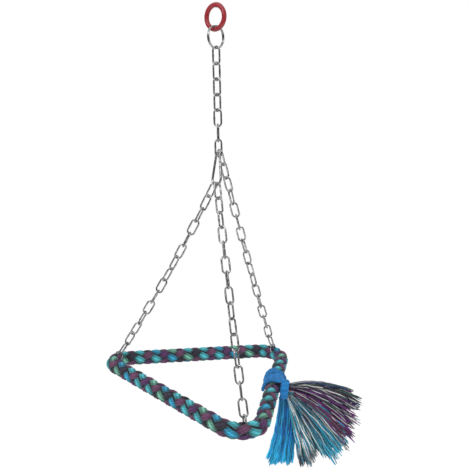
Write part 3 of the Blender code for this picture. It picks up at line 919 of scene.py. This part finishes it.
class Bunch:
    """Loose strands in locks, from inside a bunch's root to ragged cut ends."""

    def __init__(self, start, face, leave, end, side, root, last, widen, **style):
        start, leave, end = (np.array(value, dtype=float) for value in (start, leave, end))
        handle = start + leave * np.linalg.norm(end - start) * BUNCH_STRAIGHT
        near = start + (handle - start) * REACH[:, None]
        far = handle + (end - handle) * REACH[:, None]
        self.middle = near + (far - near) * REACH[:, None]
        heading = unit(far - near)
        self.face = np.array(face)
        heading[0] = self.face
        self.side = np.array(side)
        self.thick = unit(np.cross(heading, self.side))
        self.width = (root[0] + (last[0] - root[0]) * REACH ** BUNCH_FLARE) * widen
        self.depth = (root[1] + (last[1] - root[1]) * REACH) * widen
        self.style = style

    def fill(self, count, random):
        """Each lock's place across the bunch, its tone and how long it is cut, and then all the strands."""
        angles = random.random(LOCKS) * 2 * np.pi
        reaches = np.sqrt(random.random(LOCKS)) * LOCK_EDGE
        self.locks = np.stack((np.cos(angles), np.sin(angles)), -1) * reaches[:, None]
        self.tones = random.random(LOCKS)
        self.lengths = 1 - self.style["ragged"] * random.random(LOCKS)
        return gather([self.strand(random) for _ in range(count)])

    def path(self, random):
        """A strand's wavy middle along the bunch's whole reach, and the lock that it is in."""
        reach = math.sqrt(random.random())
        turn = random.random() * 2 * math.pi
        place = np.array((math.cos(turn), math.sin(turn))) * reach
        lock = int(np.argmin(np.linalg.norm(self.locks - place, axis=1)))
        spot = place + (self.locks[lock] - place) * (LOCK_PULL * REACH[:, None] ** 2)
        bends = np.zeros((STRAND_STEPS, 2))
        for waves, size in WAVES:
            phase = random.random(2) * 2 * math.pi
            pace = waves * random.uniform(*WAVE_PACES, 2)
            swing = size * self.style["wave"] * random.uniform(*WAVE_SWINGS, 2)
            bends += swing * np.sin(REACH[:, None] * pace * 2 * math.pi + phase)
        bends *= REACH[:, None] ** WAVE_RISE
        points = (self.middle + self.thick * (spot[:, 0] * self.width / 2 + bends[:, 0])[:, None]
                  + self.side * (spot[:, 1] * self.depth / 2 + bends[:, 1])[:, None])
        points[:, 2] += self.style["arch"] * np.sin(REACH * math.pi)
        points[:, 2] -= self.style["droop"] * random.random() * REACH ** DROOP_RISE
        return points, lock

    def cut(self, points, lock, random):
        """The path cut to its lock's length and set into its root, and how far along each point is."""
        length = LONGEST * self.lengths[lock] * (1 - 0.5 * self.style["ragged"] * random.random())
        last_step = points[-1] - points[-2]
        longer = np.concatenate((points, points[-1:] + last_step, points[-1:] + 2 * last_step))
        known = np.concatenate((REACH, (1 + REACH[1], 1 + REACH[2])))
        points = along_path(np.linspace(0, length, STRAND_STEPS), known, longer)
        points = np.concatenate((points[:1] - self.face * self.style["root_depth"], points))
        return points, np.concatenate(([0], REACH))

    def strand(self, random):
        """One loose two-ply strand, thicker towards its cut end, with painted shade towards its root."""
        points, lock = self.path(random)
        points, grown = self.cut(points, lock, random)
        heading = line_frames(points)
        across = unit(np.cross(heading, self.side))
        radius = LOOSE_ROOT_RADIUS + (LOOSE_END_RADIUS - LOOSE_ROOT_RADIUS) * grown
        radius = radius * random.uniform(*LOOSE_THICKNESS)
        radius[-1] *= CUT_TAPER
        twist = np.arange(len(points)) * LOOSE_TWIST + random.random() * LOOSE_TWIST_START
        swept = sweep(points, across, np.cross(heading, across), radius, STRAND_SIDES,
                      lobes=2, lobe_depth=LOOSE_PLY_DEPTH, twist=twist)
        tone = random.random() if random.random() < self.style["stray"] else self.tones[lock]
        light = self.style["glow"] * random.uniform(*LOOSE_LIGHTS)
        # Painted shade towards the root, lighter towards the cut end
        swept[2]["light"] = np.repeat(light * (ROOT_LIGHT + END_LIGHT_GAIN * grown), STRAND_SIDES)
        swept[2]["reach"] = np.repeat(grown, STRAND_SIDES)
        return tint(swept, tone=tone)


def wrap_path(tie, number):
    """A rounded path over the rope and down the front of the neck."""
    ahead = WRAP_START + WRAP_SPACE * number
    rows = [(out, rise, ahead + along) for out, rise, along in WRAP_OVER_ROPE]
    out = tie.neck_start + WRAP_NECK_START + WRAP_NECK_SPACE * number
    middle = tie.rope_half + GAP + tie.neck_outer
    ring = tie.neck_outer + WRAP_CLEARANCE
    rows += [(out, ring * math.cos(turn), middle + ring * math.sin(turn)) for turn in WRAP_NECK_TURNS]
    path = along_path(np.linspace(0, len(rows) - 1, WRAP_STEPS), np.arange(len(rows)), np.array(rows))
    spare = WRAP_ROUNDING // 2
    padded = np.pad(path, ((spare, spare), (0, 0)), mode="edge")
    kernel = np.ones(WRAP_ROUNDING) / WRAP_ROUNDING
    path = np.stack([np.convolve(padded[:, axis], kernel, mode="valid") for axis in range(3)], -1)
    return np.array(tie.on_rope) + path @ np.array((tie.out, tie.up, tie.along))


def crossing_wraps(tie):
    """Blue yarn that leaves the rope's turns and crosses over to the neck."""
    made = []
    for number in range(CROSSING_WRAPS):
        points = wrap_path(tie, number)
        heading = line_frames(points)
        toward = unit(np.cross(heading, np.array(tie.along) + WRAP_LEAN * np.array(tie.out)))
        twist = np.linspace(0, WRAP_TWIST, len(points))
        tone = WRAP_TONES[number % len(WRAP_TONES)]
        lift = np.cross(heading, toward)
        made.append(blue_length(points, toward, lift, WRAP_RADIUS, WRAP_SIDES, twist, tone))
    return made


def make_neck(tie, random):
    """The neck's own strands, packed evenly, from the rope to the fringe."""
    first = np.array(tie.on_neck(tie.neck_start))
    last = np.array(tie.on_neck(tie.neck_end))
    along, up = np.array(tie.along), np.array(tie.up)
    twist = np.arange(NECK_STRAND_STEPS) * NECK_STRAND_TWIST
    made = []
    for number in range(NECK_STRANDS):
        turn = number * SEED_ANGLE
        reach = NECK_RADIUS * NECK_FILL * math.sqrt((number + 0.5) / NECK_STRANDS)
        offset = along * math.cos(turn) * reach + up * math.sin(turn) * reach
        points = np.linspace(first, last, NECK_STRAND_STEPS) + offset
        swept = sweep(points, along, up, NECK_STRAND_RADIUS, NECK_STRAND_SIDES,
                      lobes=2, lobe_depth=NECK_PLY_DEPTH, twist=twist)
        # Painted shade: the neck's strands are evenly darkened
        made.append(tint(swept, tone=random.random(), light=NECK_LIGHT))
    add_piece("fringe_neck_strands", gather(made), "plum_yarn", "perch", "fringe_neck")


def make_tie(tie, random):
    """Blue yarn round the rope and round the neck."""
    rope_turn_radius = ROPE_RADIUS + GAP + TIE_YARN / 2
    swept = yarn_turns(tie.on_rope, tie.along, tie.up, rope_turn_radius, ROPE_TIE_TURNS, random)
    swept = gather([swept] + crossing_wraps(tie))
    add_piece("rope_tie_yarn", swept, "blue_yarn", "perch", "blue_rope_tie")
    band = tie.neck_start + GAP + (TIE_PITCH * NECK_BAND_TURNS + TIE_YARN) / 2
    swept = yarn_turns(tie.on_neck(band), tie.out, tie.up, tie.neck_turn_radius, NECK_BAND_TURNS, random)
    add_piece("neck_tie_yarn", swept, "blue_yarn", "perch", "blue_neck_tie")


def make_fringe(tie, random):
    """The frayed rope ends, which bend where they leave the neck."""
    count = len(FRINGE_BUNCHES)
    root_height = (2 * NECK_RADIUS - (count - 1) * GAP * 2) / count
    root = (root_height, 2 * NECK_RADIUS * BUNCH_ROOT_SHARE)
    widen = 1 + (FRINGE_SPREAD - 1) * REACH
    bend = [tie.on_neck(tie.neck_end + distance) for distance in FRINGE_BEND]
    for number, (name, (reach, fall, width, depth)) in enumerate(FRINGE_BUNCHES.items()):
        slot, stray, glow = BUNCH_LOOKS[name]
        rise = NECK_RADIUS - root_height / 2 - number * (root_height + 2 * GAP)
        start = tie.on_neck(tie.neck_end + GAP) + tie.up * rise - tie.out * FRINGE_SET_BACK
        end = tie.on_neck(tie.neck_end) + tie.flat_out * reach + UP * fall
        tilt = (number + 0.5) / count
        leave = (tie.out * (1 - BUNCH_DIP * tilt) - UP * BUNCH_DIP * tilt).normalized()
        bunch = Bunch(start, tie.out, leave, end, tie.along, root, (width, depth), widen,
                      arch=FRINGE_ARCH * (1 - tilt), stray=stray, glow=glow, **FRINGE_STYLE)
        made = add_piece(name + "_yarn", bunch.fill(STRANDS_PER_BUNCH, random), slot, None, name)
        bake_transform(made)


def make_tails(tie, random):
    """The two loose ends of the blue yarn."""
    side = UP.cross(tie.flat_out).normalized()
    root = tie.on_neck(tie.neck_turn_middle) - UP * (tie.neck_outer + TAIL_ROOM)
    widen = TAIL_FILL + (TAIL_SWELL - TAIL_FILL) * (1 - REACH) ** 2
    for name, sign in (("left", -1), ("right", 1)):
        start = root + tie.out * sign * (TAIL_ROOT[0] / 2 + TAIL_SPREAD)
        shift = TAIL_LEAN + TAIL_SHIFT + sign * TAIL_END[0] * TAIL_NEAR
        end = root - UP * TAIL_LENGTH + tie.flat_out * shift
        # Painted light: each tail has its own brightness on the same yarn
        bunch = Bunch(start, -UP, -UP, end, side, TAIL_ROOT, TAIL_END, widen,
                      glow=TAIL_PAINTED_LIGHT[name], **TAIL_STYLE)
        swept = bunch.fill(STRANDS_PER_TAIL, random)
        add_piece(name + "_tail_yarn", swept, "blue_yarn", name + "_tail", "blue_%s_tail" % name)


# Studio

# Camera fitted to the ring, the links and the corners of the photograph
CAMERA_PLACE = Vector((0.0, -0.6761, -0.1028))
CAMERA_TURN = math.radians(1.352)
CAMERA_DIP = math.radians(11.46)
CAMERA_ROLL = math.radians(-1.115)
CAMERA_PIXELS = 623.0
PHOTO_WIDTH = 470
SENSOR = 36.0
CLIP_START = 0.01

WORLD_LIGHT = 0.60
FLOOR_HEIGHT = -0.80
FLOOR_SIZE = 4.0
FLOOR_COLOUR = rgb(0.86, 0.86, 0.86)
FLOOR_GLOW = 1.05
FLOOR_GLOW_SHARE = 0.90
LAMPS = {"key_lamp": ((-0.9, -1.1, 0.7), 0.9, 9.0), "fill_lamp": ((1.2, -0.6, 0.1), 0.8, 3.5)}
LAMP_AIM = UP * -0.28
FLAGS = 9
FLAG_RADIUS = 1.3
FLAG_HEIGHTS = (-0.75, 0.6)
FLAG_START = 0.35
FLAG_SHARE = 0.78


def make_camera():
    """Stands where the photograph was taken from."""
    data = bpy.data.cameras.new("camera")
    data.sensor_width = SENSOR
    data.lens = SENSOR * CAMERA_PIXELS / PHOTO_WIDTH
    data.clip_start = CLIP_START
    side = level(-CAMERA_TURN)
    ahead = UP.cross(side) * math.cos(CAMERA_DIP) - UP * math.sin(CAMERA_DIP)
    across = side * math.cos(CAMERA_ROLL) + side.cross(ahead) * math.sin(CAMERA_ROLL)
    turn = Matrix((across, across.cross(ahead), -ahead)).transposed().to_4x4()
    made = put("camera", data)
    made.matrix_world = Matrix.Translation(CAMERA_PLACE) @ turn
    bpy.context.scene.camera = made


def seen_directly(nodes):
    """1 for rays from the camera, off gloss and through glass, which see the plain white studio."""
    path = nodes.node("LightPath", {})
    kinds = ("Is Camera Ray", "Is Glossy Ray", "Is Transmission Ray")
    camera, gloss, glass = (Signal(nodes, path.outputs[kind]) for kind in kinds)
    return camera.most(gloss).most(glass)


def cleared(owner):
    """The empty node tree of a world or a material."""
    owner.use_nodes = True
    owner.node_tree.nodes.clear()
    return Nodes(owner.node_tree)


def make_world():
    """White all round, dimmer as a light than as a background."""
    world = bpy.data.worlds.new("studio")
    nodes = cleared(world)
    light = nodes.out("Background", {"Color": rgb(1, 1, 1), "Strength": WORLD_LIGHT})
    white = nodes.out("Background", {"Color": rgb(1, 1, 1), "Strength": 1.0})
    mixed = nodes.out("MixShader", {0: seen_directly(nodes), 1: light, 2: white})
    nodes.node("OutputWorld", {"Surface": mixed})
    bpy.context.scene.world = world


def add_sheet(name, rows, material):
    """A flat four-cornered sheet of the studio, which isn't part of the toy."""
    mesh = bpy.data.meshes.new(name)
    mesh.from_pydata(rows, [], [(0, 1, 2, 3)])
    mesh.materials.append(material)
    made = put(name, mesh)
    return made


def make_floor():
    """A wide pale floor far below the toy, almost white where it is seen, that keeps a soft shadow."""
    material = bpy.data.materials.new("floor")
    nodes = cleared(material)
    matt = nodes.out("BsdfDiffuse", {"Color": FLOOR_COLOUR})
    glow = nodes.out("Emission", {"Strength": FLOOR_GLOW})
    mixed = nodes.out("MixShader", {0: seen_directly(nodes) * FLOOR_GLOW_SHARE, 1: matt, 2: glow})
    nodes.node("OutputMaterial", {"Surface": mixed})
    corners = ((-1, -1), (1, -1), (1, 1), (-1, 1))
    add_sheet("floor", [(x * FLOOR_SIZE, y * FLOOR_SIZE, FLOOR_HEIGHT) for x, y in corners], material)


def make_lamps():
    """A soft key lamp from the upper left and a weaker one from the right."""
    for name, (place, size, power) in LAMPS.items():
        data = bpy.data.lights.new(name, "AREA")
        data.size = size
        data.energy = power
        made = put(name, data)
        made.location = place
        made.rotation_euler = (LAMP_AIM - Vector(place)).to_track_quat("-Z", "Y").to_euler()


def make_flags():
    """Dark strips round the studio that only gloss sees, so that bright wire keeps dark edges."""
    dark = Finish("flag_cloth", Roughness=0.9, Base_Color=rgb(0.004, 0.004, 0.004)).material
    low, high = FLAG_HEIGHTS
    for number in range(FLAGS):
        middle = 2 * math.pi * (number + FLAG_START) / FLAGS
        half = math.pi / FLAGS * FLAG_SHARE
        first, last = ((FLAG_RADIUS * math.cos(turn), FLAG_RADIUS * math.sin(turn))
                       for turn in (middle - half, middle + half))
        rows = [(*first, low), (*last, low), (*last, high), (*first, high)]
        flag = add_sheet("flag_%d" % number, rows, dark)
        flag.visible_camera = False
        flag.visible_diffuse = False
        flag.visible_transmission = False
        flag.visible_shadow = False


def build():
    """The studio, then the toy from its ring down."""
    bpy.context.scene.view_settings.view_transform = "Standard"
    make_camera()
    make_world()
    make_floor()
    make_lamps()
    make_flags()
    pear = PearLink()
    chains = [Chain(name, pear) for name in CHAIN_LINKS]
    loop = Loop([chain.corner for chain in chains], [BEND_RADIUS[chain.name] for chain in chains])
    for which, chain in enumerate(chains):
        chain.set_turns(loop.tangent(which))
    make_hanging_ring()
    make_split_ring()
    make_pear_link(pear)
    make_chains(chains)
    tie = Tie(loop)
    random = np.random.default_rng(YARN_SEED)
    make_braid(loop, tie.on_rope, random)
    make_tie(tie, random)
    make_neck(tie, random)
    make_fringe(tie, random)
    make_tails(tie, random)
    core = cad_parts["wire_core"]
    for holder in core.material_slots:
        holder.material = FINISHES["core_wire"]


build()
